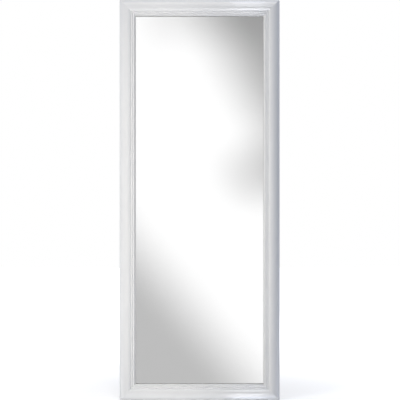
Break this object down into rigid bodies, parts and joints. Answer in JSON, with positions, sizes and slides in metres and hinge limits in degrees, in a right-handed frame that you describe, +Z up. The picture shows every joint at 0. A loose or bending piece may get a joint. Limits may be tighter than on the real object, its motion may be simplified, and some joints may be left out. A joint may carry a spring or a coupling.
{
  "type": "leaner mirror",
  "caption": "Tall rectangular leaner mirror in a broad gloss white moulding of cushion and reeds, with back panel, strap hangers and rubber pads.",
  "frame": {"origin": "on the floor, below the middle of the whole mirror", "axes": "+Z up, +X to the right as seen from the front, the glass faces -Y"},
  "size_m": [0.6, 0.036, 1.502],
  "materials": {
    "lacquered_moulding": "gloss",
    "float_glass": "polished",
    "silvering": "polished",
    "hardboard": "matte",
    "nail_steel": "satin",
    "point_steel": "satin",
    "zinc_plated_steel": "satin",
    "ring_wire": "satin",
    "screw_steel": "satin",
    "bumper_rubber": "satin",
    "pad_rubber": "matte"
  },
  "bodies": {
    "mirror": {"stile_left": "lacquered_moulding", "stile_right": "lacquered_moulding", "rail_top": "lacquered_moulding", "rail_bottom": "lacquered_moulding", "mirror_glass": "float_glass", "silver_coating": "silvering", "back_panel": "hardboard", "corner_nails_top_left": "nail_steel", "corner_nails_top_right": "nail_steel", "corner_nails_bottom_left": "nail_steel", "corner_nails_bottom_right": "nail_steel", "retainer_points_left": "point_steel", "retainer_points_right": "point_steel", "retainer_points_top": "point_steel", "retainer_points_bottom": "point_steel", "hanger_strap_left": "zinc_plated_steel", "hanger_screws_left": "screw_steel", "hanger_strap_right": "zinc_plated_steel", "hanger_screws_right": "screw_steel", "hanger_strap_top": "zinc_plated_steel", "hanger_screws_top": "screw_steel", "hanger_strap_bottom": "zinc_plated_steel", "hanger_screws_bottom": "screw_steel", "wall_bumper_top_left": "bumper_rubber", "wall_bumper_top_right": "bumper_rubber", "wall_bumper_bottom_left": "bumper_rubber", "wall_bumper_bottom_right": "bumper_rubber", "floor_pad_left": "pad_rubber", "floor_pad_right": "pad_rubber"},
    "ring_left": {"hanger_ring_left": "ring_wire"},
    "ring_right": {"hanger_ring_right": "ring_wire"},
    "ring_top": {"hanger_ring_top": "ring_wire"},
    "ring_bottom": {"hanger_ring_bottom": "ring_wire"}
  },
  "joints": [
    {"name": "ring_left_swing", "type": "hinge", "parent": "mirror", "child": "ring_left", "pos_m": [-0.275, 0.01438, 1.252], "axis": [1, 0, 0], "range_deg": [0, 175]},
    {"name": "ring_right_swing", "type": "hinge", "parent": "mirror", "child": "ring_right", "pos_m": [0.275, 0.01438, 1.252], "axis": [1, 0, 0], "range_deg": [0, 175]},
    {"name": "ring_top_swing", "type": "hinge", "parent": "mirror", "child": "ring_top", "pos_m": [0.18, 0.01438, 1.477], "axis": [0, 0, -1], "range_deg": [0, 175]},
    {"name": "ring_bottom_swing", "type": "hinge", "parent": "mirror", "child": "ring_bottom", "pos_m": [0.18, 0.01438, 0.027], "axis": [0, 0, -1], "range_deg": [0, 175]}
  ]
}
